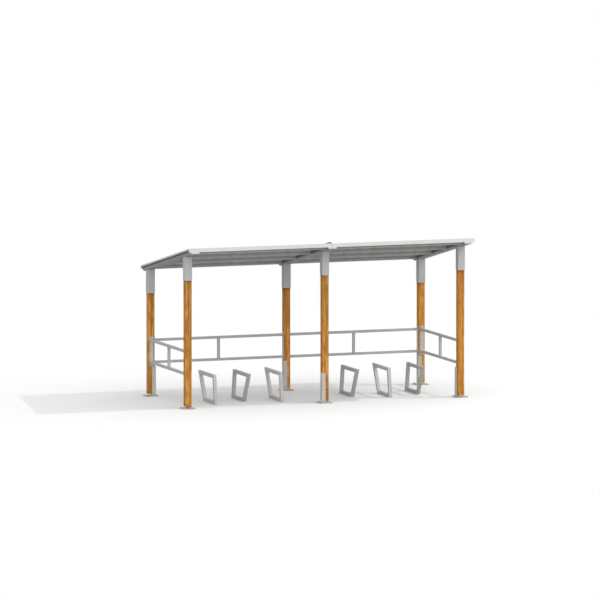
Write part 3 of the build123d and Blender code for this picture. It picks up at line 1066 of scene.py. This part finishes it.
# %% [markdown]
# A purlin meets the side of a rafter with its square end, and the rafter's lower corner is
# round, so a wedge stays open below. The welder fills it with a seam along the purlin's lower
# edge and runs one up each side.

# %% Purlin seams
PURLIN_HALF = 0.02
PURLIN_UNDER = 0.01
RAFTER_TOP = 0.06
ALONG_SLOPE = np.array([DOWN, OUT, ACROSS])
UP_SLOPE = np.array([OUT, ACROSS, DOWN])

purlins = nodes_named("purlin")
purlin_down = down_slope(np.array([centre(name) for name in purlins]))
ends_x = np.array([[low[0], high[0]] for low, high in map(box, purlins)]).reshape(-1)
ends_down = np.repeat(purlin_down, 2)
below = on_roof(ends_x, ends_down, PURLIN_UNDER + 0.001)
beside = np.vstack([
    on_roof(ends_x, ends_down + side * PURLIN_HALF, (PURLIN_UNDER + RAFTER_TOP) / 2) for side in (-1, 1)])
lower_seam = seam(2 * PURLIN_HALF - 0.004, radius=0.0048)
side_seam = seam(RAFTER_TOP - PURLIN_UNDER - 0.006, radius=0.0034)
purlin_seams = carry([lower_seam], below, ALONG_SLOPE) + carry([side_seam], beside, UP_SLOPE)
make_piece("purlin_seams", purlin_seams, coats["purlin_coat"])

# %% [markdown]
# A rail panel is bolted to the posts through its end plates with three coach screws each: below
# the lower rail, between the rails and above the upper one. Its tubes are welded to the plates
# all round, and so is the upright between the rails. A panel runs along X or along Y, so its
# ends come from the longer side of its box.

# %% Rail bolts and welds
RAIL_TUBE_HALF = 0.02
RAIL_TUBE_ROUND = 0.003
RAIL_LEG = 0.0036
RAIL_LEVELS = (0.52, 0.86)
BOLT_LEVELS = (0.4825, 0.69, 0.8975)
COACH_WASHER = 0.012
COACH_FLAT = 0.0085

bolts, tubes = [], []
for panel in nodes_named("rail"):
    run = long_axis(panel)
    for end, inward in zip(box(panel), (1, -1)):
        seat = centre(panel)
        seat[run] = end[run] + inward * RAIL_PLATE
        axes = axes_along(inward * np.eye(3)[run])
        for ends, levels in ((bolts, BOLT_LEVELS), (tubes, RAIL_LEVELS)):
            ends += [((*seat[:2], level), axes) for level in levels]
    for level, up in zip(RAIL_LEVELS, (1, -1)):
        seat = (*centre(panel)[:2], level + up * RAIL_TUBE_HALF)
        tubes.append((seat, axes_along((0, 0, up))))
bolt_seats, bolt_axes = zip(*bolts)
coach_screw = bolt_head(COACH_WASHER, COACH_FLAT, low=0, thick=0.002, high=0.0085)
turned_axes = spun(np.array(bolt_axes), len(bolt_axes))
make_piece("rail_bolts", carry(coach_screw, bolt_seats, turned_axes), bolt_zinc)
rail_bead = fillet_ring(RAIL_TUBE_HALF, RAIL_TUBE_ROUND, RAIL_LEG)
make_piece("rail_welds", carry([rail_bead], *zip(*tubes)), coats["grey_coat"], ring=True)

# %% [markdown]
# A rack is one loop of square tube, cut at the mitres and welded. The seam goes round the tube
# in the mitre's plane, which holds the X axis and the line from the inner to the outer corner.
# The loop's corners are read from the rack's points at its lowest and highest level, and the
# inner corner lies one tube width from both sides.

# %% Rack seams
RACK_TUBE = 0.05
RACK_ROUND = 0.005
RIDGE_LIFT = np.array([0.0006, 0.0004, -0.0006, -0.0006, 0.0004])
RIDGE_WIDE = np.array([0, 0.0022, 0.0034, -0.0034, -0.0022])


def loop_corners(name):
    """The four outer corners of a rack's loop in Y and Z, in order round it."""
    points = corners_of(name)
    top = points[:, 2].max()
    low_y = points[points[:, 2] < NEAR, 1]
    high_y = points[points[:, 2] > top - NEAR, 1]
    return np.array([[low_y.min(), 0], [low_y.max(), 0], [high_y.max(), top], [high_y.min(), top]])


def mitre_seams(name):
    """Low ridges round the four mitres: in the mitre's plane outwards, and across it."""
    outer = loop_corners(name)
    to_next = np.roll(outer, -1, axis=0) - outer
    to_next /= np.linalg.norm(to_next, axis=1)[:, None]
    to_last = -np.roll(to_next, 1, axis=0)
    turn = np.abs(to_next[:, 0] * to_last[:, 1] - to_next[:, 1] * to_last[:, 0])
    inner = outer + RACK_TUBE * (to_next + to_last) / turn[:, None]
    lengths = np.linalg.norm(outer - inner, axis=1)
    mitres = np.column_stack([np.zeros(4), (outer - inner) / lengths[:, None]])
    middles = np.column_stack([np.full(4, centre(name)[0]), (outer + inner) / 2])
    ridges = []
    for middle, mitre, length in zip(middles, mitres, lengths):
        path, away = square_path(RACK_TUBE / 2, length / 2, RACK_ROUND)
        flat = path[:, None] + RIDGE_LIFT[:, None] * away[:, None]
        wide = np.broadcast_to(RIDGE_WIDE[:, None], flat.shape[:2] + (1,))
        plane = [ACROSS, mitre, np.cross(ACROSS, mitre)]
        ridges += carry([np.concatenate([flat, wide], -1)], [middle], plane)
    return np.concatenate(ridges)


# The seams of the three racks with painted shade take their darker coat.
for shading, names, coat in (("unshaded", UNSHADED_RACKS, "rack_coat_1"), ("painted_shade", SHADED_RACKS, "rack_coat_painted_shade")):
    ridges = np.concatenate([mitre_seams(name) for name in names])
    ridges[..., 2] = np.maximum(ridges[..., 2], 0)
    make_piece("rack_seams_" + shading, [ridges], coats[coat], ring=True)

# %% [markdown]
# Each rack stands by itself, held to the ground by two screws through its foot bar. Their
# heads and washers sit on the bar's upper face.

# %% Rack anchors
ANCHOR_SHARES = (0.25, 0.75)

rack_seats = []
for name in nodes_named("rack"):
    front, rear = loop_corners(name)[:2, 0]
    rack_seats += [[centre(name)[0], front + share * (rear - front), RACK_TUBE] for share in ANCHOR_SHARES]
ground_screw = bolt_head(COACH_WASHER, COACH_FLAT, low=0, thick=0.0025, high=0.0095)
rack_axes = spun(UPRIGHT, len(rack_seats))
make_piece("rack_anchors", carry(ground_screw, rack_seats, rack_axes), bolt_zinc)

# %% [markdown]
# The roof sheets are screwed through their pans into every purlin, each screw with a rubber
# seal under its washer, one in the middle of each pan, and the joint strip has a row along its
# top. The screws' lines are where the purlins lie.

# %% Roof screws
PANS = 10
PAN_TOP = 0.061
STRIP_TOP = 0.115
STRIP_SCREWS = 6
STRIP_MARGIN = 0.06
SEAL_RADIUS = 0.0082
SCREW_WASHER = 0.0075
SCREW_FLAT = 0.004

sheets = np.array([box("roof_sheet_left"), box("roof_sheet_right")[::-1]])
outer, inner = sheets[:, :, 0].T[:, :, None]
pan_wide = (inner - outer) / PANS
pan_x = (outer + pan_wide * (np.arange(PANS) + 0.5)).reshape(-1)
rib_x = (outer + pan_wide * np.arange(1, PANS, 2)).reshape(-1)
purlin_lines = np.unique(np.round(purlin_down, 4))
in_pans = on_roof(np.tile(pan_x, len(purlin_lines)), np.repeat(purlin_lines, len(pan_x)), PAN_TOP)
strip_down = down_slope(corners_of("joint_strip"))
strip_ends = strip_down.min() + STRIP_MARGIN, strip_down.max() - STRIP_MARGIN
on_strip = on_roof(0, np.linspace(*strip_ends, STRIP_SCREWS), STRIP_TOP)
screws = np.vstack([in_pans, on_strip])
roof_turns = spun(ROOF_AXES, len(screws))
roof_screw = bolt_head(SCREW_WASHER, SCREW_FLAT, low=0.0014, thick=0.001, high=0.0048)
make_piece("roof_screws", carry(roof_screw, screws, roof_turns), bolt_zinc)
seal = washer(SEAL_RADIUS, low=-0.0002, high=0.0016)
make_piece("roof_seals", carry([seal], screws, roof_turns), rubber)

# %% [markdown]
# The leaves of the fascia and of the rear trim lie on the ribs, and a blind rivet holds them to
# every second one. Its low round head is coated with the leaf, so it doesn't stand out above
# the edge. The head is a turned shape with a small dent where the rivet's pin broke off.

# %% Leaf rivets
LEAF_TOP = 0.087
LEAF_MIDDLE = 0.02

leaf_front = down_slope(corners_of("fascia_left")).min()
leaf_rear = down_slope(corners_of("rear_trim")).max()
rivets = np.vstack([
    on_roof(rib_x, down, LEAF_TOP) for down in (leaf_front + LEAF_MIDDLE, leaf_rear - LEAF_MIDDLE)])
rivet_head = turn_profile([
    (0, -0.0003, 0), (0.0048, -0.0003, 0), (0.0042, 0.001, 0),
    (0.0024, 0.0016, 0), (0.0014, 0.0012, 0), (0, 0.0011, 0)])
make_piece("leaf_rivets", carry([rivet_head], rivets, ROOF_AXES), coats["fascia_coat"])
